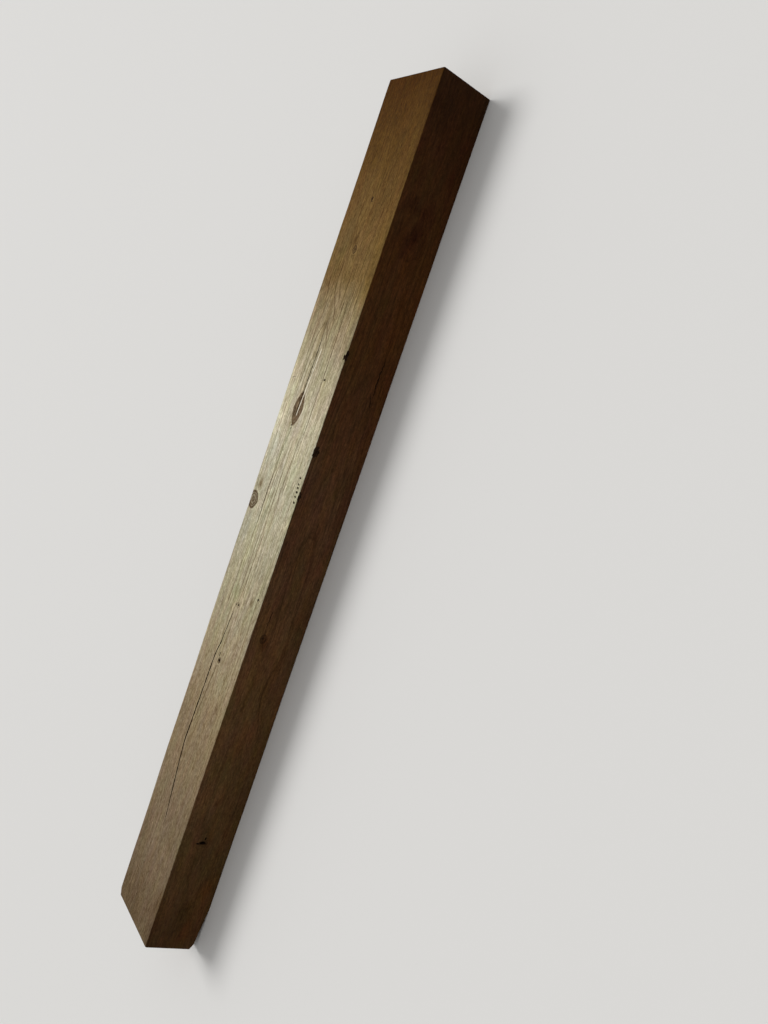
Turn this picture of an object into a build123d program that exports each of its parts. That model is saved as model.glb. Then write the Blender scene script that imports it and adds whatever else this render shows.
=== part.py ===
from build123d import *
import math
import os

# An old squared oak beam, lying on one of its two wide faces, in millimetres.
# X runs along the beam from the foot to the head, Y across the wide faces and Z up from the floor.
# The origin is the middle of the base of the whole beam's box.

# The sawn stick
LENGTH = 2000.0              # along the upper wide face, from the foot cut to the head cut
WIDTH = 200.0                # of the wide faces
THICKNESS = 133.0            # of the narrow faces
ARRIS_RADIUS = 2.0           # the four long arrises, worn round by handling

# The foot cut, square across the wide faces but out of square through the thickness
FOOT_SKEW = 9.5              # degrees, so the lower wide face is the longer one

# The lower front corner of the foot, broken away
TOE_BREAK_ALONG = 38.0       # back from the toe, along the beam
TOE_BREAK_ACROSS = 90.0      # in from the front face
TOE_BREAK_UP = 22.0          # up from the lower face

# The shallower rub behind the break, where the corner was dragged
TOE_RUB_ALONG = 92.0
TOE_RUB_ACROSS = 60.0
TOE_RUB_UP = 12.0

# The upper back corner of the foot, chipped
HEEL_CHIP_ALONG = 22.0
HEEL_CHIP_ACROSS = 14.0      # in from the back face
HEEL_CHIP_DOWN = 26.0        # down from the upper face

# The drying check, a crack along the grain of the upper wide face that tapers out at both ends
CHECK_WIDTH = 2.4            # at its widest
CHECK_DEPTH = 36.0           # at its deepest, towards the pith
CHECK_TIP_SHARE = 0.12       # of the width and depth that is left at each tip
CHECK_OVERCUT = 1.0          # how far the cutting wedge stands above the face
CHECK_ROUTE = [              # distance from the foot cut, and offset from the face's centre line
    (257.0, -1.0),
    (300.0, 7.0),
    (347.0, 16.0),
    (400.0, 25.0),
    (447.0, 31.0),
    (480.0, 28.0),
    (560.0, 26.0),
    (662.0, 23.0),
    (693.0, 15.0),
    (720.0, 12.0),
    (773.0, 5.0),
]

# Where the two ends come, with the beam's box centred on the origin
toe_overhang = THICKNESS * math.tan(math.radians(FOOT_SKEW))
head_x = (LENGTH + toe_overhang) / 2
toe_x = -head_x
foot_x = head_x - LENGTH


def squared_stick():
    """The stick before its damage: one eased rectangle drawn out along X, with the foot sawn on its skew."""
    section = Plane.YZ.offset(toe_x) * Pos(0, THICKNESS / 2) * RectangleRounded(WIDTH, THICKNESS, ARRIS_RADIUS)
    stick = extrude(section, head_x - toe_x)
    sawn_off = Polyline((toe_x, 0), (foot_x, THICKNESS), (toe_x, THICKNESS), close=True)
    return stick - extrude(Plane.XZ * make_face(sawn_off), WIDTH, both=True)


def beyond_break(corner, along, across, up):
    """What lies outside a broken corner: a block on the plane through the three points where the break runs out.

    The three signed lengths say how far from the corner it runs out along X, Y and Z."""
    corner = Vector(*corner)
    back = corner + Vector(along, 0, 0)
    side = corner + Vector(0, across, 0)
    rise = corner + Vector(0, 0, up)
    broken_face = Plane(origin=back, x_dir=side - back, z_dir=(side - back).cross(rise - back))
    reach = abs(along) + abs(across) + abs(up)
    outward = math.copysign(reach, broken_face.z_dir.dot(corner - back))
    return extrude(broken_face * Rectangle(2 * reach, 2 * reach), outward)


def check_wedge():
    """The space inside the drying check: V sections along its route, ruled into one wedge."""
    start, end = CHECK_ROUTE[0][0], CHECK_ROUTE[-1][0]
    sections = []
    for distance, offset in CHECK_ROUTE:
        opening = math.sin(math.pi * (distance - start) / (end - start))
        share = CHECK_TIP_SHARE + (1 - CHECK_TIP_SHARE) * opening
        depth = CHECK_DEPTH * share
        half_mouth = CHECK_WIDTH / 2 * share * (depth + CHECK_OVERCUT) / depth
        mouth_z = THICKNESS + CHECK_OVERCUT
        left, right = (offset - half_mouth, mouth_z), (offset + half_mouth, mouth_z)
        outline = Polyline(left, right, (offset, THICKNESS - depth), close=True)
        sections.append(Plane.YZ.offset(foot_x + distance) * make_face(outline))
    return loft(sections, ruled=True)


toe_corner = (toe_x, -WIDTH / 2, 0)
heel_corner = (foot_x, WIDTH / 2, THICKNESS)

beam = squared_stick()
beam -= beyond_break(toe_corner, TOE_BREAK_ALONG, TOE_BREAK_ACROSS, TOE_BREAK_UP)
beam -= beyond_break(toe_corner, TOE_RUB_ALONG, TOE_RUB_ACROSS, TOE_RUB_UP)
beam -= beyond_break(heel_corner, HEEL_CHIP_ALONG, -HEEL_CHIP_ACROSS, -HEEL_CHIP_DOWN)
beam -= check_wedge()

os.makedirs("parts", exist_ok=True)
export_step(beam.solid(), "parts/beam.step")
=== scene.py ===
import math

import bmesh
import bpy
import numpy as np
from mathutils import Matrix, Vector


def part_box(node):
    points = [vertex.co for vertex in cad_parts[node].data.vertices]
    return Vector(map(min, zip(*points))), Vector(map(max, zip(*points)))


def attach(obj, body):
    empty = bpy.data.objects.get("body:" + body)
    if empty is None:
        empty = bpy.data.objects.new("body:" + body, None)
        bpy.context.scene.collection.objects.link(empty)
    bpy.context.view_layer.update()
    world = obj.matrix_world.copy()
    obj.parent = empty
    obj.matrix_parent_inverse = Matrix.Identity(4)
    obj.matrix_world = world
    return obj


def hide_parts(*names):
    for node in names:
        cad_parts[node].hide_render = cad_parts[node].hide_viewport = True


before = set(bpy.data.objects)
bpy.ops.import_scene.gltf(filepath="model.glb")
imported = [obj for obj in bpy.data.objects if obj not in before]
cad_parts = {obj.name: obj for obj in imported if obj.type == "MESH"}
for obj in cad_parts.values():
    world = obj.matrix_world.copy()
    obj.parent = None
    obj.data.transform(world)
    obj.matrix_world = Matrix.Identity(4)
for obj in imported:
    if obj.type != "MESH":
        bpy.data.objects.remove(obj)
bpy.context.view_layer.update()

# The squared stick
# One length of old oak, sawn square on all four sides with the heart of the tree boxed inside it. The head is
# cut off square and the foot out of square. Drying has left the faces a little uneven, and handling has
# rubbed the four arrises round. Lengths in this file are millimetres until the mesh is made.
TO_MM, TO_METRES = 1000, 0.001
low, high = (np.array(corner) * TO_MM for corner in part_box("beam"))
half_width, thickness = high[1], high[2]
toe_x, head_x = low[0], high[0]
FOOT_SKEW = 9.5                       # degrees out of square
foot_slope = math.tan(math.radians(FOOT_SKEW))
foot_x = toe_x + thickness * foot_slope

COLUMNS = 262                         # of points along the stick
WIDE_STEPS, NARROW_STEPS, ARRIS_STEPS = 78, 52, 6
END_ARRIS = 1.3                       # how far the edges of both ends are rubbed round
LEAST_ROUND, MOST_ROUND = 1.1, 9.0    # of the long arrises
LOWER_FRONT, LOWER_BACK, UPPER_BACK, UPPER_FRONT = range(4)
PITH_Y, PITH_Z = 17, 61               # where the heart of the tree runs, on average

# The knots that show on the faces: centre, half lengths along x, y and z, how dark, and how plainly ringed
KNOTS = [
    ((264, 22, 133), (37, 18.5, 38), 1.42, 0.45),
    ((33, 86, 128), (21, 22, 22), 1.15, 1.0),
    ((628, 9, 133), (9, 8, 12), 0.95, 1.0),
    ((741, 7, 133), (5, 4, 12), 0.9, 0.3),
    ((-196, -3, 133), (7, 9.5, 12), 0.5, 0.5),
    ((-331, -3, 133), (7, 6, 10), 1.0, 0.6),
    ((-730, -100, 78), (6, 20, 12), 0.55, 0.3),
    ((-234, -100, 101), (11, 20, 7.5), 0.75, 0.2),
    ((-480, 22, 0), (28, 15, 30), 0.8, 0.25),
    ((420, -30, 0), (20, 12, 30), 0.7, 0.25),
    ((-120, 100, 68), (20, 30, 12), 0.8, 0.25),
    ((560, 100, 61), (12, 20, 8), 0.7, 0.3),
]


def wander(seed, points, scale, waves=14):
    """A smooth unevenness from about -1 to 1 at each point, as long as scale in x, y and z."""
    dice = np.random.default_rng(seed)
    total = np.zeros(points.shape[:-1])
    for _ in range(waves):
        run = dice.normal(size=3) / np.array(scale)
        total += np.sin(points @ run + dice.uniform(0, 2 * math.pi))
    return total / math.sqrt(2 * waves)


def heart(x):
    """Where the pith runs inside the beam, as y and z at each x."""
    return PITH_Y + 7 * np.sin(x / 310), PITH_Z + 6 * np.sin(x / 420 + 1.0)


def arris_radius(number, x):
    """How round one of the long arrises is rubbed along the beam, most at the foot and by the heel."""
    spot = np.stack([x, np.full_like(x, 500.0 * number), 0 * x], -1)
    radius = 2.3 + 0.9 * wander(11 + number, spot, (90, 1, 1)) + 0.5 * wander(21 + number, spot, (22, 1, 1))
    ends = np.exp(-(x - foot_x) / 30) * 2.0 + np.exp((x - head_x) / 25) * 1.0
    if number == UPPER_BACK:
        ends += 4.0 * np.clip((-600 - x) / 150, 0, 1)
    return np.clip(radius + ends, LEAST_ROUND, MOST_ROUND)


def sunk(points, outward):
    """How far the surface lies below the true face at each point."""
    x, y, z = points[..., 0], points[..., 1], points[..., 2]
    wide = np.abs(outward[..., 2])
    depth = 0.2 + 0.2 * wander(31, points, (260, 45, 45)) + 0.07 * wander(32, points, (40, 14, 14))
    # The wide faces have cupped a little, and the back has lost a shaving along its upper part
    depth += wide * 0.15 * np.clip(1 - (y / half_width) ** 2, 0, 1)
    back = np.clip(outward[..., 1], 0, 1)
    depth += back * 1.2 * np.exp(-(((x + 400) / 150) ** 4)) * z / thickness
    # Each knot has shrunk into its face, and a ringed one has a groove round it
    for centre, reach, _, ringed in KNOTS:
        far = np.linalg.norm((points - np.array(centre)) / np.array(reach), axis=-1)
        depth += 0.25 * np.clip(1.1 - far, 0, 0.4) / 0.4 + 0.5 * ringed * np.exp(-(((far - 1.0) / 0.14) ** 2))
    return np.clip(depth, 0, None)


def stick_mesh():
    """The whole stick as one closed skin: rounded sections along X, and a grid over each end."""
    corners = np.array([(-half_width, 0), (half_width, 0), (half_width, thickness), (-half_width, thickness)])
    runs = np.array([(1, 0), (0, 1), (-1, 0), (0, -1)], float)
    faces_out = np.array([(0, -1), (1, 0), (0, 1), (-1, 0)], float)
    steps = [WIDE_STEPS, NARROW_STEPS, WIDE_STEPS, NARROW_STEPS]
    # The sections stand close together at both ends, where the edges are rubbed round
    eased = np.array([0.0, 0.35, 0.8, 1.5, 3.0])
    reach = head_x - foot_x
    middle = np.linspace(6.0, reach - 6.0, COLUMNS - 2 * len(eased))
    along = np.concatenate([eased, middle, reach - eased[::-1]])
    from_end = np.minimum(along, reach - along)
    inset = END_ARRIS - np.sqrt(np.clip(END_ARRIS**2 - np.clip(END_ARRIS - from_end, 0, None) ** 2, 0, None))
    x_line = foot_x + along
    radii = np.array([arris_radius(number, x_line) for number in range(4)])
    # Each section goes round the four faces, with an arris after each of them
    sections, normals = [], []
    for side in range(4):
        after = (side + 1) % 4
        share = np.linspace(0, 1, steps[side] + 1)[None, :, None]
        first = corners[side] + runs[side] * radii[side][:, None]
        last = corners[after] - runs[side] * radii[after][:, None]
        sections.append(first[:, None] * (1 - share) + last[:, None] * share)
        normals.append(np.broadcast_to(faces_out[side], sections[-1].shape))
        turn = np.linspace(0, math.pi / 2, ARRIS_STEPS + 1)[1:-1, None]
        out = np.cos(turn) * faces_out[side] + np.sin(turn) * runs[side]
        centre = last + runs[after] * radii[after][:, None]
        sections.append(centre[:, None] + out[None] * radii[after][:, None, None])
        normals.append(np.broadcast_to(out[None], sections[-1].shape))
    section, normal = np.concatenate(sections, 1), np.concatenate(normals, 1)
    x = np.broadcast_to(x_line[:, None], section.shape[:2])
    points = np.concatenate([x[..., None], section], -1)
    outward = np.concatenate([np.zeros_like(x)[..., None], normal], -1)
    points = points - outward * (sunk(points, outward) + inset[:, None])[..., None]
    # The sections lean more and more towards the foot, as far as its cut
    cut_x = toe_x + points[..., 2] * foot_slope
    share = (along / reach)[:, None]
    points[..., 0] = cut_x * (1 - share) + head_x * share
    columns, around = points.shape[:2]
    index = np.arange(columns * around).reshape(columns, around)
    following = np.roll(index, -1, 1)
    quads = np.stack([index[:-1], following[:-1], following[1:], index[1:]], -1).reshape(-1, 4)
    vertices, faces = [points.reshape(-1, 3)], [quads]
    # Each end is a grid stretched between the four sides of its outline
    count = columns * around
    across, up = WIDE_STEPS + ARRIS_STEPS, NARROW_STEPS + ARRIS_STEPS
    for end, loop in ((0, index[0]), (1, index[-1])):
        loop = np.roll(loop, ARRIS_STEPS // 2)
        grid = np.full((across + 1, up + 1), -1)
        grid[:, 0] = loop[: across + 1]
        grid[-1, :] = loop[across : across + up + 1]
        grid[:, -1] = loop[across + up : 2 * across + up + 1][::-1]
        grid[0, :] = np.append(loop[2 * across + up :], loop[0])[::-1]
        edge = vertices[0]
        u = np.linspace(0, 1, across + 1)[:, None, None]
        v = np.linspace(0, 1, up + 1)[None, :, None]
        bottom, top = edge[grid[:, 0]][:, None], edge[grid[:, -1]][:, None]
        left, right = edge[grid[0, :]][None], edge[grid[-1, :]][None]
        patch = (1 - v) * bottom + v * top + (1 - u) * left + u * right
        patch -= (1 - u) * (1 - v) * bottom[:1] + u * (1 - v) * bottom[-1:]
        patch -= (1 - u) * v * top[:1] + u * v * top[-1:]
        inner = patch[1:-1, 1:-1].reshape(-1, 3)
        rough = 0.5 + 0.3 * wander(41 + end, inner, (1, 40, 9)) + 0.15 * wander(43 + end, inner, (1, 9, 30))
        inner[:, 0] += np.clip(rough, 0, None) * (1 - 2 * end)
        grid[1:-1, 1:-1] = count + np.arange(len(inner)).reshape(across - 1, up - 1)
        vertices.append(inner)
        count += len(inner)
        squares = np.stack([grid[:-1, :-1], grid[1:, :-1], grid[1:, 1:], grid[:-1, 1:]], -1)
        faces.append(squares.reshape(-1, 4))
    mesh = bpy.data.meshes.new("oak_beam")
    mesh.from_pydata(np.concatenate(vertices) * TO_METRES, [], np.concatenate(faces).tolist())
    return mesh


def faced_outward(mesh):
    """Turns every face of a closed mesh outward."""
    work = bmesh.new()
    work.from_mesh(mesh)
    bmesh.ops.recalc_face_normals(work, faces=work.faces)
    work.to_mesh(mesh)
    work.free()
    return mesh


beam = bpy.data.objects.new("oak_beam", faced_outward(stick_mesh()))
bpy.context.scene.collection.objects.link(beam)

# The drying checks
# Oak with its heart boxed in can't shrink freely, so it splits from its faces towards the pith. Each check is
# a jagged V that follows the grain and dies out at both ends. The ends check in a star round the pith.
OUTWARD = {
    "bottom": (0, 0, -1),
    "top": (0, 0, 1),
    "front": (0, -1, 0),
    "back": (0, 1, 0),
    "head": (1, 0, 0),
    "foot": (-1, 0, 0),
}
OVERCUT = 1.2        # how far each cutter stands above the face
CHECK_STEP = 5       # between the sections of a check
cutters = []


def on_face(face, first, second):
    """A point of the beam's surface: x and offset on a long face, or y and z on an end."""
    if face == "head":
        return np.array([head_x, first, second])
    if face == "foot":
        return np.array([toe_x + second * foot_slope, first, second])
    return np.array({
        "top": (first, second, thickness),
        "bottom": (first, second, 0),
        "front": (first, -half_width, second),
        "back": (first, half_width, second),
    }[face])


def closed_solid(name, rings):
    """A closed solid skinned over a row of sections that have the same number of corners."""
    corners = len(rings[0])
    faces = []
    for ring in range(len(rings) - 1):
        for corner in range(corners):
            here, beside = ring * corners + corner, ring * corners + (corner + 1) % corners
            faces.append((here, beside, beside + corners, here + corners))
    faces.append(tuple(range(corners)))
    faces.append(tuple(range(corners * (len(rings) - 1), corners * len(rings))))
    mesh = bpy.data.meshes.new(name)
    mesh.from_pydata(np.concatenate(rings) * TO_METRES, [], faces)
    solid = bpy.data.objects.new(name, faced_outward(mesh))
    bpy.context.scene.collection.objects.link(solid)
    cutters.append(solid)
    return solid


def check(face, width, depth, seed, ragged, route):
    """Cuts one check along a route on a face."""
    dice = np.random.default_rng(seed)
    knots = np.array([on_face(face, *stop) for stop in route], float)
    run = np.concatenate([[0], np.cumsum(np.linalg.norm(np.diff(knots, axis=0), axis=1))])
    stops = np.linspace(0, run[-1], max(5, int(run[-1] / CHECK_STEP)))
    line = np.stack([np.interp(stops, run, knots[:, axis]) for axis in range(3)], -1)
    outward = np.array(OUTWARD[face], float)
    tangent = np.gradient(line, axis=0)
    tangent /= np.linalg.norm(tangent, axis=1)[:, None]
    sections = []
    for number, (point, ahead) in enumerate(zip(line, tangent)):
        # It opens quickly from both tips, and a check of a long face splits towards the pith
        share = number / (len(line) - 1)
        opening = 0.05 + 0.95 * math.sin(math.pi * share) ** 0.38
        mouth = width * opening * dice.uniform(0.7, 1.15)
        deep = depth * opening * dice.uniform(0.85, 1.05)
        if face in ("head", "foot"):
            inward = -outward
        else:
            pith_y, pith_z = heart(point[0])
            inward = np.array([0, pith_y - point[1], pith_z - point[2]])
            inward /= np.linalg.norm(inward)
        beside = np.cross(ahead, outward)
        beside /= np.linalg.norm(beside)
        centre = point + beside * dice.normal() * ragged * min(1, 3 * opening - 0.15)
        half = mouth / 2 * (deep + OVERCUT) / deep
        bend = beside * dice.normal() * 0.15 * mouth
        sections.append(np.array([
            centre + outward * OVERCUT - beside * half,
            centre + outward * OVERCUT + beside * half,
            centre + inward * deep * 0.35 + beside * mouth * 0.28 + bend,
            centre + inward * deep + bend,
            centre + inward * deep * 0.35 - beside * mouth * 0.28 + bend,
        ]))
    closed_solid("check", sections)


# Every check: face, width at its widest, depth at its deepest, seed, raggedness, and its route on the face
CHECKS = [
    ("top", 5.0, 36, 1, 0.3, [
        (-747, -2), (-735, -1), (-689, 7), (-642, 16), (-589, 25), (-542, 31.5), (-509, 29.5),
        (-429, 27), (-327, 24), (-312, 21), (-296, 16), (-269, 13), (-232, 9), (-212, 6)]),
    ("top", 3.0, 16, 2, 0.3, [(246, 25), (262, 24.5), (300, 22.5), (345, 21), (400, 19.5), (438, 21)]),
    ("top", 2.2, 7, 3, 0.5, [(-12, 33), (28, 34)]),
    ("top", 2.8, 9, 4, 0.5, [(20, 35.5), (70, 35), (112, 33)]),
    ("top", 1.5, 6, 5, 0.5, [(106, 31.5), (150, 30), (205, 27)]),
    ("top", 1.5, 3.5, 22, 0.25, [(326, 94), (328, 86), (332, 76)]),
    ("top", 0.7, 4, 6, 0.25, [(190, -40), (260, -41), (330, -39), (420, -40), (512, -37)]),
    ("front", 2.2, 8, 7, 0.5, [(312, 34), (330, 38), (347, 44)]),
    ("front", 2.7, 12, 8, 0.8, [(340, 34), (366, 37), (385, 35.5), (405, 36), (428, 36.5)]),
    ("front", 1.8, 6, 9, 0.5, [(-208, 103), (-190, 102), (-166, 100)]),
    ("bottom", 3.2, 38, 10, 0.5, [(-640, 30), (-520, 24), (-400, 28), (-250, 20), (-90, 26), (40, 21)]),
    ("bottom", 2.4, 26, 11, 0.5, [(120, 8), (250, 14), (380, 10), (560, 16), (700, 12)]),
    ("bottom", 1.6, 14, 12, 0.5, [(-930, 6), (-850, 12), (-760, 9)]),
    ("bottom", 2.0, 8, 23, 0.5, [(396, -31), (430, -29), (478, -30)]),
    ("back", 2.8, 30, 13, 0.5, [(-560, 74), (-400, 70), (-260, 75), (-60, 69), (130, 73)]),
    ("back", 1.5, 12, 14, 0.5, [(380, 58), (500, 61), (640, 56)]),
    ("head", 2.0, 30, 15, 0.5, [(20, 66), (26, 88), (31, 112), (33, 132)]),
    ("head", 1.5, 24, 16, 0.5, [(10, 60), (-16, 56), (-52, 51), (-80, 48)]),
    ("head", 1.3, 18, 17, 0.5, [(24, 56), (48, 44), (74, 30)]),
    ("head", 1.2, 16, 18, 0.5, [(14, 50), (10, 26), (7, 6)]),
    ("foot", 1.8, 26, 19, 0.5, [(14, 66), (4, 90), (-8, 118)]),
    ("foot", 1.6, 22, 20, 0.5, [(24, 60), (56, 64), (90, 70)]),
    ("foot", 1.2, 16, 21, 0.5, [(8, 52), (-18, 36), (-46, 22)]),
]
for one_check in CHECKS:
    check(*one_check)

# The knot hole, the knocks and the breaks
# A dead knot has dropped out of the front face, the arrises carry gashes and bruises, and two corners of the
# foot have split off along the fibre: the lower front one, and the upper back one.


def pit(centre, radii, seed, lumps, sides=12, rows=8):
    """Scoops out a lumpy egg round a centre, with half lengths along x, y and z."""
    dice = np.random.default_rng(seed)
    centre, radii = np.array(centre, float), np.array(radii, float)
    long_axis = int(np.argmax(radii))
    first, second = (axis for axis in range(3) if axis != long_axis)
    rings = []
    for row in range(rows + 1):
        tilt = math.pi * (row + 0.35) / (rows + 0.7)
        ring = np.zeros((sides, 3))
        for side in range(sides):
            turn = 2 * math.pi * side / sides
            swell = 1 + dice.normal() * lumps
            ring[side, long_axis] = -math.cos(tilt) * radii[long_axis]
            ring[side, first] = math.sin(tilt) * math.cos(turn) * radii[first] * swell
            ring[side, second] = math.sin(tilt) * math.sin(turn) * radii[second] * swell
        rings.append(centre + ring)
    closed_solid("pit", rings)


PITS = [  # centre, half lengths, seed, how lumpy
    # the dropped-out knot of the front face
    ((-730, -97, 78), (4, 12, 9.5), 31, 0.2),
    ((-719, -98.5, 74), (4, 4, 2.2), 32, 0.12),
    ((-731, -99, 89), (2.2, 3.5, 6), 57, 0.3),
    # a loose knot beside the long check, and the round hole nearer the middle
    ((-331, -3, 131), (3.6, 3.2, 6), 33, 0.12),
    ((-318, 3, 132.4), (6, 1.6, 1.6), 34, 0.12),
    ((-155, -79, 132), (3.6, 3.2, 9), 35, 0.05),
    # gashes and bruises of the arrises
    ((402, -99, 131.5), (12, 3.6, 3.8), 36, 0.3),
    ((398, -93, 133.4), (6, 4, 3), 37, 0.3),
    ((191, -101, 128), (15, 4.6, 8), 38, 0.3),
    ((89, -101, 131.5), (13, 4.0, 5), 39, 0.3),
    ((-118, 100.5, 133.5), (8, 2.8, 2.6), 40, 0.3),
    ((-150, 100.5, 133.5), (6, 2.2, 2.2), 41, 0.3),
    # a nick, and the pitted hearts of the small knots
    ((341, -47, 133.8), (4.5, 4.6, 2.4), 43, 0.35),
    ((-195, -6, 133), (2.2, 2.6, 2.6), 44, 0.3),
    ((-197, 5, 133), (1.6, 2.4, 2.2), 56, 0.3),
    ((629, 7, 133.8), (3.2, 3, 2.2), 45, 0.2),
    ((740, 6, 133.5), (3, 1.8, 1.6), 46, 0.2),
    ((218, 24, 133), (2.2, 2, 1.8), 53, 0.2),
    ((224, 28, 133), (2.2, 2, 1.8), 54, 0.2),
    ((-232, -100, 102), (2.6, 2.2, 2.6), 55, 0.35),
]
# A row of dents that a tool or a strap has left along the upper front arris
DENTS = [(73, -89), (85, -86), (96, -86.5), (105, -85), (113, -84), (127, -82)]
FIRST_DENT_SEED = 47
for number, spot in enumerate(DENTS):
    PITS.append(((*spot, 133.6), (2.7, 4.8, 2.6), FIRST_DENT_SEED + number, 0.3))
for one_pit in PITS:
    pit(*one_pit)

broken_faces = []    # a point of each break's face, and the way it faces


def broken_corner(corner, along, across, up, seed):
    """Splits a corner off along a fibrous face through the three places where the break runs out."""
    corner = np.array(corner, float)
    first, second, third = corner + (along, 0, 0), corner + (0, across, 0), corner + (0, 0, up)
    middle = (first + second + third) / 3
    split = np.cross(second - first, third - first)
    split *= math.copysign(1, split @ (corner - first)) / np.linalg.norm(split)
    broken_faces.append((middle, split))
    side = np.cross(split, (1, 0, 0))
    side /= np.linalg.norm(side)
    run = np.cross(side, split)
    reach = 0.9 * (abs(along) + abs(across) + abs(up))
    rows = []
    for step in np.linspace(-reach, reach, 46):
        row = middle + run * step + side * np.linspace(-reach, reach, 60)[:, None]
        torn = 1.6 * wander(seed, row, (60, 3.5, 3.5)) + 1.4 * wander(seed + 1, row, (18, 9, 9)) + 1.2
        row = row - split * torn[:, None]
        rows.append(np.concatenate([row, [row[-1] + split * reach, row[0] + split * reach]]))
    closed_solid("break", rows)


toe_corner, heel_corner = (toe_x, -half_width, 0), (foot_x, half_width, thickness)
broken_corner(toe_corner, along=38, across=90, up=22, seed=51)
broken_corner(toe_corner, along=96, across=62, up=12.5, seed=53)
broken_corner(heel_corner, along=22, across=-14.5, up=-26, seed=55)

bpy.context.view_layer.update()
for cutter in cutters:
    cut = beam.modifiers.new("cut", "BOOLEAN")
    cut.operation = "DIFFERENCE"
    cut.solver = "MANIFOLD"
    cut.object = cutter
whole = bpy.data.meshes.new_from_object(beam.evaluated_get(bpy.context.evaluated_depsgraph_get()))
beam.modifiers.clear()
beam.data = whole
beam.data.name = "oak_beam"
for cutter in cutters:
    bpy.data.meshes.remove(cutter.data)
SHARP_TURN = 38      # degrees between two faces, from which their edge stays sharp
whole.shade_smooth()
whole.set_sharp_from_angle(angle=math.radians(SHARP_TURN))

# The figure of the wood
# The rings part and swell round every knot, and the hard grain lines that weather stands out between them run
# with the fibre. All of it is worked out at each point of the mesh and kept there for the material to read.
SWIRLS = [  # centre, half lengths, swell of the rings, share by which the fibre parts
    ((322, 22, 133), (92, 21, 60), 9.0, 0.75),
    ((34, 88, 130), (52, 26, 45), 7.0, 0.6),
    ((612, 9, 133), (88, 20, 50), 8.0, 0.6),
    ((-331, -3, 133), (34, 11, 30), 4.0, 0.5),
    ((-197, -7, 133), (40, 12, 30), 4.0, 0.5),
    ((-730, -100, 78), (45, 40, 18), 6.0, 0.7),
    ((-367, -100, 46), (70, 60, 15), 7.0, 0.2),
    ((-232, -100, 102), (42, 40, 13), 4.0, 0.6),
    ((-64, -100, 70), (80, 60, 20), -4.0, 0.2),
    ((250, -100, 92), (60, 60, 18), -3.0, 0.2),
    ((684, -100, 72), (60, 50, 26), 8.0, 0.6),
    ((-480, 22, 0), (80, 22, 50), 8.0, 0.6),
    ((420, -30, 0), (90, 24, 50), 8.0, 0.6),
    ((-120, 100, 68), (80, 50, 20), 7.0, 0.6),
    ((560, 100, 61), (60, 50, 16), 6.0, 0.6),
]


def rings_and_fibre(points):
    """How far out from the pith each point grew, and where its fibre would lie in a straight-grained tree."""
    fibre, swell = points.copy(), points[:, 0] * 0.0045
    for centre, reach, rise, parting in SWIRLS:
        away = points - np.array(centre)
        pull = np.exp(-((away / np.array(reach)) ** 2).sum(1))
        fibre[:, 1:] -= away[:, 1:] * (pull * parting)[:, None]
        swell = swell + pull * rise
    pith_y, pith_z = heart(points[:, 0])
    laid = np.hypot(fibre[:, 1] - pith_y, fibre[:, 2] - pith_z) + swell
    return laid + 2.6 * wander(51, points, (240, 60, 60)) + 0.8 * wander(52, points, (70, 22, 22)), fibre


# Grain lines that can be told apart, and among them a painted shadow and a painted highlight beside two
# checks:
# x and offset from end to end, and how dark (or how pale, below nought)
TOP_LINES = [
    (0.6, [(-165, 7), (-60, 7), (95, 8)]),
    (0.3, [(-20, 24), (60, 24), (130, 21)]),
    (0.3, [(-20, 15), (60, 15), (140, 13)]),
    (0.9, [(-190, 0), (-158, -6), (-90, -7), (-20, -11)]),
    (0.5, [(-25, -6), (50, -4), (120, -4)]),
    (0.5, [(-136, -26), (-60, -25), (15, -24)]),
    (0.4, [(-190, -36), (-120, -37), (-60, -36)]),
    (1.3, [(-199, 45), (-185, 45)]),
    (0.7, [(-180, 45), (-120, 42), (-50, 37), (-20, 34)]),
    (0.6, [(50, -31), (54, -24), (60, -20), (110, -22), (210, -28)]),
    (0.8, [(78, -31), (98, -31), (120, -30)]),
    (0.5, [(145, -37), (260, -39), (330, -40)]),
    (-0.6, [(180, -44), (300, -44), (420, -43), (515, -42)]),
    (-0.5, [(60, -27), (100, -28), (180, -34)]),
    (0.6, [(320, -40), (430, -39), (500, -34), (520, -33)]),
    # The pale lip below the knot's check: partly pale split wood, partly a painted highlight
    (-2.0, [(248, 21), (275, 19), (315, 15)]),
    (-1.9, [(306, 16), (350, 11.5), (404, 6)]),
    (0.6, [(428, 21), (472, 22)]),
    (1.0, [(408, -8), (430, 3), (462, 17)]),
    (1.0, [(468, -2), (495, 9), (515, 21), (538, 36), (560, 37), (600, 36)]),
    (0.5, [(330, 57), (420, 60), (491, 53), (505, 57), (518, 62)]),
    (1.2, [(528, 62), (545, 66), (562, 71)]),
    (0.7, [(320, 52), (400, 50), (430, 45), (450, 37), (460, 27)]),
    (1.1, [(491, -20), (512, -20)]),
    (0.4, [(500, -12), (540, -13), (585, -10)]),
    (0.4, [(505, -28), (545, -26), (595, -24)]),
    (0.5, [(491, -43), (600, -46), (720, -52)]),
    (0.3, [(540, -60), (640, -63), (700, -62)]),
    # A painted shadow along the lower side of the long check
    (0.9, [(-490, 18), (-420, 11), (-345, 1)]),
    (0.3, [(-250, 68), (-200, 70)]),
    (0.25, [(-120, 70), (0, 66)]),
    (0.5, [(636, 9), (650, 18), (670, 28)]),
    (0.7, [(741, 8), (758, 11), (770, 15)]),
]
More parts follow.
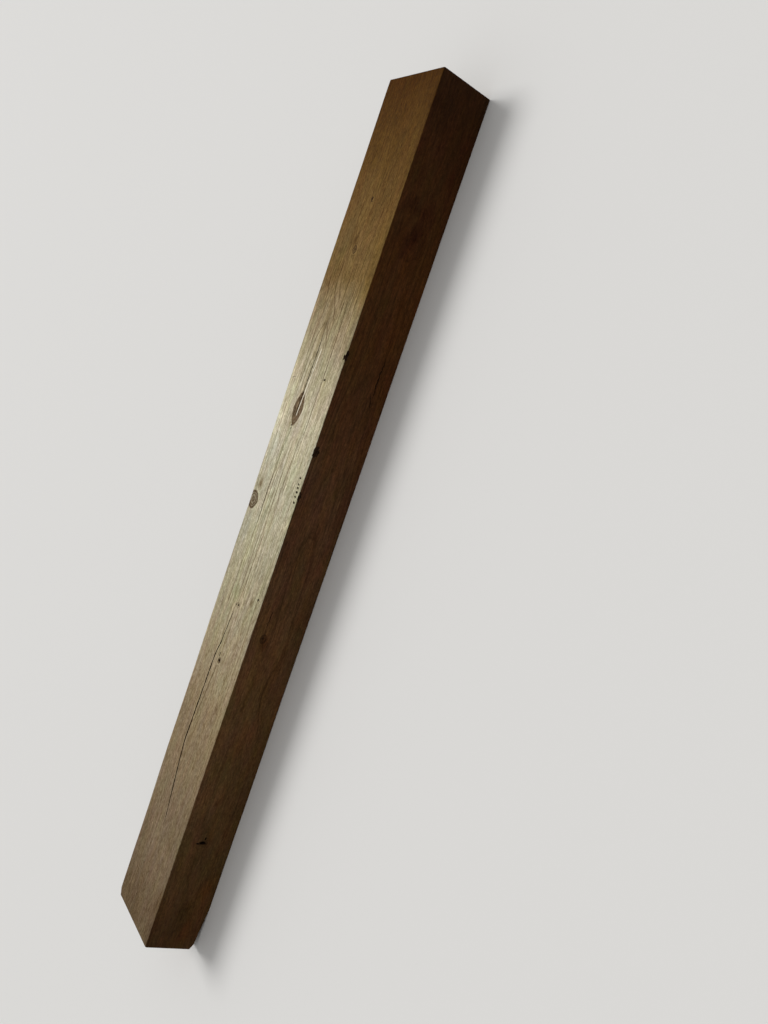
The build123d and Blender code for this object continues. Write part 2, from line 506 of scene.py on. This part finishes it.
FRONT_LINES = [
    (0.6, [(-512, 43), (-500, 47), (-478, 55)]),
    (0.8, [(-460, 34), (-420, 45), (-385, 55), (-367, 58), (-330, 55), (-270, 48)]),
    (-0.5, [(-440, 34), (-420, 40), (-385, 50), (-360, 53)]),
    (0.7, [(-160, 58), (-135, 66), (-110, 75), (-76, 83), (-49, 81), (-10, 75), (15, 70)]),
    (-0.4, [(-110, 80), (-76, 88), (-49, 86)]),
    (0.6, [(-92, 46), (-80, 38), (-66, 28)]),
    (0.6, [(5, 55), (20, 62), (32, 64), (45, 62), (62, 56)]),
    (0.8, [(98, 40), (113, 40)]),
    (0.6, [(198, 88), (225, 96), (250, 105)]),
    (-0.5, [(208, 87), (236, 95), (262, 102)]),
    (0.8, [(298, 94), (315, 100), (332, 106)]),
    (0.9, [(-264, 92), (-250, 97), (-238, 101)]),
    (0.6, [(-226, 101), (-206, 103)]),
    (0.5, [(280, 36), (320, 38), (380, 36), (480, 37)]),
    (0.25, [(480, 60), (600, 66), (640, 70)]),
    (0.5, [(-680, 66), (-600, 60), (-540, 58)]),
    (0.5, [(-940, 40), (-860, 46), (-790, 52)]),
    (0.25, [(760, 62), (860, 57), (980, 60)]),
]


FAR_ASIDE = 99.0                     # from every grain line
CLEARANCE, OVERLAP = 18, 30          # that two lines of one layer keep, across the beam and along it
BENDS = (-12, -6, 0, 6, 12)          # over which the corners of a route are smoothed


def told_apart(lines, x, offset, near_face):
    """How far aside each point lies from its nearest grain line and how dark that line is.

    The lines are shared out over three layers, so that two lines close together stay apart."""
    aside, strength = np.full((3, len(x)), FAR_ASIDE), np.zeros((3, len(x)))
    layers = [[], [], []]
    for dark, route in lines:
        stops, level = np.array(route, float).T
        start, end = stops[0], stops[-1]
        gaps = []
        for layer in layers:
            beside = [run for run in layer if run[0][0] < end + OVERLAP and run[0][-1] > start - OVERLAP]
            apart = [np.abs(np.interp(stops, *run) - level).min() for run in beside]
            gaps.append(min([FAR_ASIDE] + apart))
        number = next((number for number, gap in enumerate(gaps) if gap > CLEARANCE), int(np.argmax(gaps)))
        layers[number].append((stops, level))
        away = offset - sum(np.interp(x + bend, stops, level) for bend in BENDS) / len(BENDS)
        taper = np.clip((x - start) / 9 + 0.5, 0, 1) * np.clip((end - x) / 9 + 0.5, 0, 1)
        weight = taper * np.clip((8 - np.abs(away)) / 2, 0, 1) * near_face
        there = (x > start - 15) & (x < end + 15) & (np.abs(away) < np.abs(aside[number]))
        aside[number][there] = away[there]
        strength[number][there] = (weight * dark)[there]
    return aside.T, strength.T


KNOT_REACH = 2.2                     # half lengths from a knot's centre, out to which the wood knows of it


def nearest_knot(points):
    """Each point's place in the nearest knot, in shares of its half lengths, and how that knot shows."""
    shares, shown = np.full(points.shape, 3.0), np.zeros((len(points), 3))
    for centre, reach, dark, ringed in KNOTS:
        away = (points - np.array(centre)) / np.array(reach)
        far = np.linalg.norm(away, axis=1)
        there = (far < KNOT_REACH) & (far < np.linalg.norm(shares, axis=1))
        shares[there] = away[there]
        shown[there] = np.clip((KNOT_REACH - far[there, None]) / 0.7, 0, 1) * np.array([dark, ringed, 0])
    return shares, shown


STAINS = [  # centre, half lengths, glaze, strength
    # stains, smudges and dirt of the upper face
    ((75, 74, 133), (9, 6, 8), (0.4, 0.3, 0.2), 0.8),
    ((70, 84, 133), (22, 16, 8), (0.8, 0.78, 0.7), 0.8),
    ((333, -50, 133), (6, 4, 6), (1.4, 1.4, 1.35), 0.8),
    ((345, -56, 133), (16, 14, 6), (0.86, 0.86, 0.84), 0.7),
    ((214, 26, 133), (9, 6, 6), (0.74, 0.77, 0.78), 0.8),
    ((266, 53, 133), (18, 7, 6), (1.2, 1.16, 1.22), 0.8),
    ((648, 18, 133), (17, 11, 10), (0.55, 0.45, 0.32), 0.8),
    ((-171, -55, 133), (9, 6, 8), (0.55, 0.5, 0.42), 0.9),
    ((-423, -59, 133), (9, 6, 8), (0.6, 0.55, 0.48), 0.8),
    ((610, -84, 133), (130, 26, 8), (1.0, 0.98, 0.76), 0.8),
    ((760, 80, 133), (120, 30, 8), (1.0, 0.93, 0.98), 0.6),
    ((-759, -62, 133), (26, 12, 8), (0.72, 0.66, 0.58), 0.6),
    ((-779, 80, 133), (46, 18, 8), (0.78, 0.74, 0.68), 0.6),
    ((-884, -92, 133), (34, 12, 12), (0.7, 0.62, 0.5), 0.7),
    ((-930, 0, 133), (80, 120, 20), (0.86, 0.82, 0.76), 0.6),
    ((-240, 50, 133), (70, 20, 8), (0.9, 0.97, 0.87), 0.7),
    ((-172, 21, 133), (22, 16, 8), (0.88, 0.98, 0.88), 0.8),
    # its broad faint patches, a little lighter, darker or greyer than the rest
    ((-60, 60, 133), (100, 40, 8), (1.02, 1.04, 1.01), 0.7),
    ((-50, 14, 133), (150, 44, 8), (1.15, 1.18, 1.17), 0.9),
    ((52, 78, 133), (60, 22, 8), (0.9, 0.9, 0.88), 0.9),
    ((-22, 78, 133), (38, 26, 8), (0.94, 1.0, 1.1), 0.9),
    ((150, 70, 133), (50, 24, 8), (0.98, 1.02, 1.1), 0.9),
    ((-40, -88, 133), (190, 36, 8), (0.9, 0.91, 0.86), 0.9),
    # a band of painted light along the far arris
    ((262, 88, 133), (160, 26, 8), (1.25, 1.27, 1.33), 0.9),
    ((262, 34, 133), (60, 22, 8), (0.86, 0.86, 0.85), 0.9),
    ((350, 0, 133), (60, 22, 8), (0.86, 0.87, 0.88), 0.9),
    ((650, 56, 133), (70, 46, 8), (0.88, 0.93, 0.98), 0.9),
    ((-960, 78, 133), (50, 26, 8), (0.9, 0.88, 0.87), 0.9),
    ((-840, -30, 133), (80, 60, 8), (1.05, 1.06, 1.07), 0.9),
    ((-450, 0, 133), (60, 32, 8), (1.04, 1.06, 1.09), 0.9),
    # stains, smudges and dirt of the front
    ((-914, -100, 72), (36, 12, 19), (0.7, 0.66, 0.6), 0.8),
    ((-965, -100, 42), (22, 12, 24), (1.0, 0.72, 0.55), 0.6),
    ((-850, -100, 30), (30, 12, 20), (1.0, 0.78, 0.5), 0.6),
    ((-632, -100, 77), (7, 10, 5), (0.5, 0.4, 0.3), 0.9),
    ((-246, -100, 97), (16, 12, 12), (0.66, 0.55, 0.45), 0.8),
    ((682, -100, 76), (42, 12, 38), (0.62, 0.48, 0.52), 0.9),
    ((671, -100, 90), (12, 12, 9), (0.6, 0.5, 0.5), 0.8),
    ((686, -100, 71), (10, 12, 9), (0.6, 0.5, 0.5), 0.8),
    ((697, -100, 54), (13, 12, 7), (0.6, 0.5, 0.5), 0.8),
    ((738, -100, 77), (30, 12, 40), (0.56, 0.43, 0.46), 0.9),
    ((820, -100, 26), (24, 12, 10), (1.0, 0.8, 0.75), 0.6),
    ((960, -100, 80), (50, 12, 50), (0.85, 0.75, 0.75), 0.6),
    ((-710, -100, 62), (16, 12, 12), (1.0, 0.98, 0.8), 0.7),
    # its broad faint patches
    ((520, -100, 8), (440, 12, 42), (1.17, 1.1, 1.07), 0.9),
    ((520, -100, 124), (440, 12, 50), (0.85, 0.87, 0.89), 0.9),
    ((90, -100, 98), (90, 12, 36), (0.89, 0.89, 0.87), 0.9),
    ((-50, -100, 18), (60, 12, 34), (1.1, 1.1, 1.2), 0.9),
    ((-350, -100, 86), (50, 12, 20), (1.08, 1.05, 1.05), 0.9),
    ((-650, -100, 22), (90, 12, 38), (0.9, 0.86, 0.86), 0.9),
    ((-870, -100, 16), (70, 12, 36), (1.22, 1.16, 1.12), 0.9),
    ((-965, -100, 118), (55, 12, 44), (0.85, 0.81, 0.82), 0.9),
]


def stained(points):
    """The glaze that all the stains together leave at each point."""
    glaze = np.ones(points.shape)
    for centre, reach, tint, strength in STAINS:
        far = np.linalg.norm((points - np.array(centre)) / np.array(reach), axis=1)
        far += 0.3 * wander(61, points, (25, 10, 10)) + 0.18 * wander(62, points, (9, 4, 4))
        share = np.clip((1.3 - far) / 0.9, 0, 1) * strength
        glaze *= 1 - share[:, None] * (1 - np.array(tint))
    return glaze


def read(rows, what):
    """Three numbers of each point or face of the beam's mesh."""
    values = np.empty(len(rows) * 3, np.float32)
    rows.foreach_get(what, values)
    return values.reshape(-1, 3)


def keep(name, values):
    """Keeps three numbers for each point of the beam's mesh."""
    kept_values = whole.attributes.new(name, "FLOAT_VECTOR", "POINT").data
    kept_values.foreach_set("vector", values.astype(np.float32).ravel())


RAW_AND_SHADED_DEPTH = 2.4                      # below which all wood is raw and darkened with dirt and painted shade
BREAK_REACH, BREAK_RAW = 3.5, 0.35   # how far from its plane a break's torn face lies, and how raw it is
ARRIS_BAND = 9                       # beside the arrises, where knocks are raw all over


def raw_and_shaded_faces():
    """How much each face of the mesh takes of the dark colour of checks, their dirt and painted shade: 1 in
    checks and pits, less on the breaks, 0 where it is weathered.
    """
    middles, facing = read(whole.polygons, "center") * TO_MM, read(whole.polygons, "normal")
    x, y, z = middles.T
    outward = np.array(list(OUTWARD.values()))
    from_head, from_foot = head_x - x, x - toe_x - z * foot_slope
    depths = np.array([z, thickness - z, y + half_width, half_width - y, from_head, from_foot])
    nearest = depths.argmin(0)
    depth = depths.min(0)
    on_a_long_face, on_upper_face = nearest < 4, nearest == 1
    # What has turned away from the nearest true face is the wall of a check or a pit
    turned = (facing * outward[nearest]).sum(1) < 0.6
    # Beside an arris, depth is counted from its rounding, and everywhere from the uneven sawn surface
    inward, inner = np.minimum(y + half_width, half_width - y), np.minimum(z, thickness - z)
    lower, upper = np.where(y < 0, LOWER_FRONT, LOWER_BACK), np.where(y > 0, UPPER_BACK, UPPER_FRONT)
    radii = [arris_radius(number, x) for number in range(4)]
    radius = np.choose(np.where(z < thickness / 2, lower, upper), radii)
    rounded = radius - np.hypot(radius - inward, radius - inner)
    below = np.where((inward < radius) & (inner < radius), rounded, depth) - sunk(middles, outward[nearest])
    share = np.where(on_upper_face & (inward > ARRIS_BAND), 0.45 + 0.45 * below, 1.0)
    raw = np.where((turned & (depth > 0.1)) | ((below > 0.5) & on_a_long_face), share, 0)
    raw = np.where(depth > RAW_AND_SHADED_DEPTH, 1, np.clip(raw, 0, 1)).astype(np.float32)
    for middle, split in broken_faces:
        raw[(np.abs((middles - middle) @ split + 0.5) < BREAK_REACH) & (below > 0.25)] = BREAK_RAW
    return raw


whole.attributes.new("raw", "FLOAT", "FACE").data.foreach_set("value", raw_and_shaded_faces())
skin = read(whole.vertices, "co").astype(float) * TO_MM
laid, fibre = rings_and_fibre(skin)
on_upper, on_fore = skin[:, 2] > thickness - 3, skin[:, 1] < 3 - half_width
upper_aside, upper_dark = told_apart(TOP_LINES, skin[:, 0], skin[:, 1], on_upper & ~on_fore)
fore_aside, fore_dark = told_apart(FRONT_LINES, skin[:, 0], skin[:, 2], on_fore & ~on_upper)
knot_shares, knot_shown = nearest_knot(skin)
keep("grown", np.stack([laid, fibre[:, 1], fibre[:, 2]], -1))
keep("line_aside", np.where(on_fore[:, None], fore_aside, upper_aside))
keep("line_dark", np.where(on_fore[:, None], fore_dark, upper_dark))
keep("knot_shares", knot_shares)
keep("knot_shown", knot_shown)
keep("stain", stained(skin))

# The wood
# Heartwood, bleached by light and dust to a grey tan on the upper face. The upper face is palest in the
# middle of its length and darkest at the head, partly real bleaching and partly painted light on the middle
# and painted shade at the head. The front is deep brown, partly its own less bleached colour and partly
# painted shade. It is dry and dull, with open pores that run along the fibre.
RING_WIDTH = 3.1      # of a year's growth
SAW_PITCH = 6.5       # of the marks that the saw left
length = round(head_x - toe_x)
wood = bpy.data.materials.new("weathered_oak_with_painted_light")
wood.use_nodes = True
wood.node_tree.nodes.clear()


class Grain:
    """An output of the wood's node tree, so that sums on it can be written out."""

    def __init__(self, socket):
        self.socket = socket

    def node(self, kind, settings=(), inputs=(), output=0):
        """One of the outputs of a new node, with its settings made and its inputs set or linked."""
        made = wood.node_tree.nodes.new(kind)
        for name, value in dict(settings).items():
            if name == "stops":
                while len(made.color_ramp.elements) < len(value):
                    made.color_ramp.elements.new(1.0)
                for element, (position, colour) in zip(made.color_ramp.elements, value):
                    element.position = position
                    element.color = colour
            else:
                setattr(made, name, value)
        for name, value in dict(inputs).items():
            if isinstance(value, Grain):
                wood.node_tree.links.new(value.socket, made.inputs[name])
            else:
                made.inputs[name].default_value = value
        return Grain(made.outputs[output]) if made.outputs else None

    def maths(self, operation, *others):
        """A Math node on a number, or a Vector Math node on a place."""
        kind = "ShaderNodeVectorMath" if self.socket.type == "VECTOR" else "ShaderNodeMath"
        return self.node(kind, {"operation": operation}, enumerate((self,) + others))

    def __add__(self, other):
        return self.maths("ADD", other)

    def __sub__(self, other):
        return self.maths("SUBTRACT", other)

    def __rsub__(self, other):
        return self * -1.0 + other

    def __mul__(self, other):
        return self.maths("MULTIPLY", other)

    def __truediv__(self, other):
        return self * (1.0 / other)

    __radd__ = __add__
    __rmul__ = __mul__


bare = Grain(None)


def kept(name, output="Vector"):
    """What the mesh keeps under a name."""
    return bare.node("ShaderNodeAttribute", {"attribute_name": name}, {}, output)


def scaled(spot, factor):
    """A place or a colour times a number."""
    return bare.node("ShaderNodeVectorMath", {"operation": "SCALE"}, {0: spot, "Scale": factor})


def parts(spot):
    """The three numbers of a place, a direction or a kept value."""
    split = bare.node("ShaderNodeSeparateXYZ", {}, {0: spot})
    return [Grain(output) for output in split.socket.node.outputs]


def between(value, start, end):
    """0 before start, 1 after end, and smooth in between."""
    return bare.node("ShaderNodeMapRange", {"interpolation_type": "SMOOTHSTEP"},
                     {"Value": value, "From Min": start, "From Max": end})


def mottle(spot, along, across, detail=2.0, shift=0.0, crisp=0.55, output=0):
    """Noise from 0 to 1, drawn out along the beam."""
    drawn = spot * (1 / along, 1 / across, 1 / across) + (shift, shift, shift)
    inputs = {"Vector": drawn, "Scale": 1.0, "Detail": detail, "Roughness": crisp}
    return bare.node("ShaderNodeTexNoise", {}, inputs, output)


def string(number, detail=1.0):
    """Soft noise from 0 to 1 along one number."""
    inputs = {"W": number, "Scale": 1.0, "Detail": detail}
    return bare.node("ShaderNodeTexNoise", {"noise_dimensions": "1D"}, inputs)


def mixed(first, second, share):
    """One colour going over to another."""
    return bare.node("ShaderNodeMix", {"data_type": "RGBA"}, {0: share, 6: first, 7: second}, 2)


def glazed(colour, glaze, share):
    """A colour with a share of a glaze over it."""
    settings = {"data_type": "RGBA", "blend_type": "MULTIPLY"}
    return bare.node("ShaderNodeMix", settings, {0: share, 6: colour, 7: glaze}, 2)


def screen(red, green, blue):
    """A colour given as it looks on a screen, from 0 to 255."""
    lit = [value / 255 for value in (red, green, blue)]
    linear = [value / 12.92 if value <= 0.04045 else ((value + 0.055) / 1.055) ** 2.4 for value in lit]
    return (*linear, 1.0)


place = scaled(bare.node("ShaderNodeTexCoord", {}, {}, "Object"), TO_MM)
x, y, z = parts(place)
to_x, to_y, to_z = parts(bare.node("ShaderNodeNewGeometry", {}, {}, "Normal"))
on_top, on_front = between(to_z, 0.5, 0.9), between(to_y, -0.5, -0.9)
on_end = between(to_x.maths("ABSOLUTE"), 0.6, 0.9)
blotch = mottle(place, 120, 60, 3.0, 3.0)
speckle = mottle(place, 6, 4.5, 4.0, 0.0, 0.6)

# Rings, fibre and pores
laid, fibre_y, fibre_z = parts(kept("grown"))
fibre = bare.node("ShaderNodeCombineXYZ", {}, {0: x, 1: fibre_y, 2: fibre_z})
year = (laid + string(laid / 8.0) * 5.0) / RING_WIDTH
weather = bare.node("ShaderNodeTexWhiteNoise", {"noise_dimensions": "1D"}, {"W": year.maths("FLOOR")})
early = between(year.maths("FRACT"), 0.6, 0.0) * (weather * 0.6 + 0.4)
broad_streak = mottle(fibre, 300, 4.2)
fine_streak = mottle(fibre, 75, 1.6, 4.0, 0.0, 0.65)
pores = between(mottle(fibre, 20, 0.7, 3.0, 7.0, 0.7), 0.56, 0.62) * (early * 0.6 + 0.4)
round_pith = (z - PITH_Z).maths("ARCTAN2", y - PITH_Y)
ray = between(string(round_pith * 60.0, 3.0), 0.54, 0.72) * on_end * between(speckle, 0.3, 0.65)

# The single grain lines, with the painted shadow and highlight lines among them, broken up as real ones are
lines = 0.0
for aside, strength in zip(parts(kept("line_aside")), parts(kept("line_dark"))):
    lines = between(aside.maths("ABSOLUTE"), 2.1, 0.4) * strength + lines
lines = lines * (between(fine_streak, 0.35, 0.55) * 0.6 + 0.4)

# The knots: pointed ovals with a dark heart, rings of their own and a dark rim
knot_x, knot_y, knot_z = parts(kept("knot_shares"))
lengthwise = knot_x.maths("ABSOLUTE") * 0.3 + 0.95
knot_place = bare.node("ShaderNodeCombineXYZ", {}, {0: knot_x, 1: knot_y * lengthwise, 2: knot_z})
across_knot = bare.node("ShaderNodeVectorMath", {"operation": "LENGTH"}, {0: knot_place}, "Value")
across_knot = across_knot + (speckle - 0.5) * 0.4
knot_dark, knot_ringed, _ = parts(kept("knot_shown"))
knot_rings = between((across_knot * 3.7).maths("FRACT"), 0.8, 0.1) * knot_ringed * 0.45
rim = between((across_knot - 0.97).maths("ABSOLUTE"), 0.14, 0.03) * (knot_ringed * 0.35 + 0.4)
rim = rim + between((across_knot - 0.68).maths("ABSOLUTE"), 0.12, 0.03) * 0.25
heart_dark = 0.88 - knot_ringed * 0.4 + knot_rings + between(across_knot, 0.5, 0.1) * 0.3
knot_heart = between(across_knot, 1.15, 0.85) * heart_dark
knot_crack = between(mottle(fibre, 30, 2.0, 2.0, 31.0), 0.5, 0.62) * 0.4
knotty = (knot_heart * (knot_crack + 0.75) + rim) * knot_dark * ((speckle - 0.5) * 0.6 + 1.0)
knot_halo = between((across_knot - 1.28).maths("ABSOLUTE"), 0.16, 0.05) * knot_dark * on_top

# How pale each face is from the foot to the head: real bleaching, with painted light on the middle of the
# upper face and painted shade towards the head and over the whole front
along = (x + (mottle(place, 240, 80, 3.0, 5.0) - 0.5) * 170.0) / length + 0.5
# The upper tone: palest in the middle, darkest at the head, partly real bleaching and partly painted light
# and shade
upper = bare.node("ShaderNodeValToRGB", {"stops": [
    (0.00, screen(96, 80, 59)),
    (0.12, screen(117, 101, 79)),
    (0.28, screen(136, 120, 93)),
    (0.40, screen(168, 157, 130)),
    (0.53, screen(185, 178, 153)),
    (0.62, screen(197, 188, 162)),
    (0.68, screen(179, 168, 139)),
    (0.78, screen(123, 98, 58)),
    (0.90, screen(93, 67, 28)),
    (1.00, screen(69, 40, 2)),
]}, {0: along})
# The front tone: its own deeper brown with painted shade in it
front = bare.node("ShaderNodeValToRGB", {"stops": [
    (0.00, screen(64, 43, 21)),
    (0.15, screen(76, 55, 31)),
    (0.42, screen(82, 57, 34)),
    (0.55, screen(78, 52, 32)),
    (0.70, screen(71, 44, 20)),
    (0.79, screen(70, 42, 18)),
    (1.00, screen(46, 25, 9)),
]}, {0: along})
# The underside and the ends are mixed partly from the front tone, with its painted shade
colour = mixed(mixed(front, upper, 0.25), upper, between(to_z, -0.2, 0.85))
colour = mixed(colour, front, between(to_y, -0.35, -0.85))
colour = mixed(colour, glazed(upper, (0.62, 0.54, 0.44, 1), 1.0), between(to_y, 0.35, 0.85))
colour = mixed(colour, mixed(front, screen(112, 88, 58), 0.55), on_end)

# Greenish, reddish and greyer patches in the weathering, and small lighter and darker flecks
tinge = scaled(mottle(place, 80, 22, 3.0, 11.0, 0.55, "Color"), 1.0) * (0.46, 0.46, 0.8) + (0.77, 0.77, 0.6)
colour = glazed(colour, tinge, on_front * 0.6 + 0.4)
fleck = mottle(fibre, 13, 2.8, 6.0, 21.0, 0.7)

# The rings hardly show through the dust of the foot, show more in the middle, and most on the sawn ends
plain = between(x, -420, -120) * between(x, 760, 560)
showing = plain * 0.35 + 0.28 + on_end * 0.7
dark = early * showing + pores * 0.5 + between(fine_streak, 0.48, 0.66) * (plain * 0.2 + 0.25)
dark = dark + between(fleck, 0.48, 0.68) * 0.8 + between(speckle, 0.5, 0.7) * 0.35
dark = dark + between(broad_streak, 0.5, 0.72) * (plain * 0.45 + 0.1) * (on_front * -0.6 + 1.0)
dusk = mixed((0.56, 0.455, 0.34, 1), (0.54, 0.505, 0.43, 1), plain)
colour = glazed(colour, dusk, (dark * (on_front * -0.2 + 1.0)).maths("MINIMUM", 1.0))
line_dark = (lines * (1.5 - on_front * 0.8)).maths("MINIMUM", 1.0).maths("MAXIMUM", 0.0)
colour = glazed(colour, (0.42, 0.34, 0.26, 1), line_dark)
pale = between(broad_streak, 0.5, 0.25) * 0.2 + between(fine_streak, 0.48, 0.28) * 0.2
pale = pale + between(fleck, 0.5, 0.28) * 0.6 + between(speckle, 0.5, 0.3) * 0.25
pale = pale + (lines * -0.5).maths("MAXIMUM", 0.0) + knot_halo * 0.12
colour = scaled(colour, (blotch - 0.5) * (on_front * 0.4 + 0.4) + pale + 1.05)
colour = mixed(colour, screen(140, 116, 82), ray * 0.22)
colour = glazed(colour, (0.25, 0.18, 0.125, 1), knotty.maths("MINIMUM", 1.0))
colour = glazed(colour, kept("stain", "Color"), (speckle - 0.5) * 0.8 + 1.0)
# The palest lines turn near white: the lip below the knot's check, partly pale split wood and partly a
# painted highlight
colour = mixed(colour, screen(240, 233, 212), between(lines, -0.65, -1.4))

# In the checks, the pits and the knocks the raw wood is dark brown to near black, dirt and painted shade
# together, and the breaks take a share of it
dirty_shaded_raw_wood = mixed(screen(15, 9, 5), screen(56, 37, 22), between(fine_streak, 0.35, 0.65))
colour = mixed(colour, dirty_shaded_raw_wood, kept("raw", "Fac"))

# Hard streaks stand out in millimetres, and pores, soft rings, lines, knots and saw marks lie below them
relief = fine_streak * 0.3 + fleck * 0.25 + broad_streak * 0.2
relief = relief - pores * 0.25 - early * 0.15 - lines * 0.25 - knotty * 0.2
saw = ((x + z * 0.12 + y * 0.1 + (blotch - 0.5) * 8.0) * (2 * math.pi / SAW_PITCH)).maths("SINE")
height = relief + saw * 0.03
bump = bare.node("ShaderNodeBump", {}, {"Strength": 1.0, "Distance": TO_METRES, "Height": height}, "Normal")
finish = bare.node("ShaderNodeBsdfPrincipled", {}, {
    "Base Color": colour,
    "Roughness": 0.82 - knotty * 0.12 + (fine_streak - 0.5) * 0.12,
    "Specular IOR Level": 0.05,
    "Normal": bump,
}, "BSDF")
bare.node("ShaderNodeOutputMaterial", {}, {"Surface": finish})
whole.materials.clear()
whole.materials.append(wood)

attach(beam, "root")
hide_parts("beam")

# The floor
# A plain pale floor that the beam lies on, matt, level and wide enough to fill the picture. It is only the
# stage, and isn't part of the beam.
FLOOR_REACH = 14      # metres each way
floor_corners = [(FLOOR_REACH * x_sign, FLOOR_REACH * y_sign, 0) for x_sign, y_sign in (
    (-1, -1), (1, -1), (1, 1), (-1, 1))]
floor_mesh = bpy.data.meshes.new("floor")
floor_mesh.from_pydata(floor_corners, [], [(0, 1, 2, 3)])
floor = bpy.data.objects.new("floor", floor_mesh)
bpy.context.scene.collection.objects.link(floor)
paint = bpy.data.materials.new("pale_floor")
paint.use_nodes = True
coat = paint.node_tree.nodes["Principled BSDF"]
coat.inputs["Base Color"].default_value = (0.72, 0.71, 0.69, 1)
coat.inputs["Roughness"].default_value = 0.9
floor_mesh.materials.append(paint)

# The light
# One broad soft lamp, high and behind the beam, and an even pale surround, at a level at which colours come
# out about as they are written.
lamp = bpy.data.lights.new("soft_lamp", "SUN")
lamp.energy = 1.9
lamp.angle = math.radians(28)
lamp_object = bpy.data.objects.new("soft_lamp", lamp)
lamp_object.rotation_euler = Vector((-0.1, -0.75, -0.9)).to_track_quat("-Z", "Y").to_euler()
bpy.context.scene.collection.objects.link(lamp_object)
surround = bpy.data.worlds.new("surround")
surround.use_nodes = True
sky = surround.node_tree.nodes["Background"]
sky.inputs["Color"].default_value = (1, 1, 1, 1)
sky.inputs["Strength"].default_value = 0.5
bpy.context.scene.world = surround
bpy.context.scene.view_settings.view_transform = "Standard"

# The camera
# At the photograph's distance and slant, looking down on the beam from its front side. The head is up and to
# the right in the picture.
lens = bpy.data.cameras.new("camera")
lens.lens = 29.221
lens.sensor_width = 36.0
lens.sensor_fit = "AUTO"
camera = bpy.data.objects.new("camera", lens)
right = Vector((0.3299, -0.5491, -0.7679))
up = Vector((0.9389, 0.2753, 0.2065))
ahead = Vector((-0.0980, 0.7891, -0.6064))
stand = Vector((0.29193, -1.6006, 1.0568))
turned = Matrix((right, up, -ahead)).transposed().to_quaternion()
camera.matrix_world = Matrix.LocRotScale(stand, turned, None)
bpy.context.scene.collection.objects.link(camera)
bpy.context.scene.camera = camera
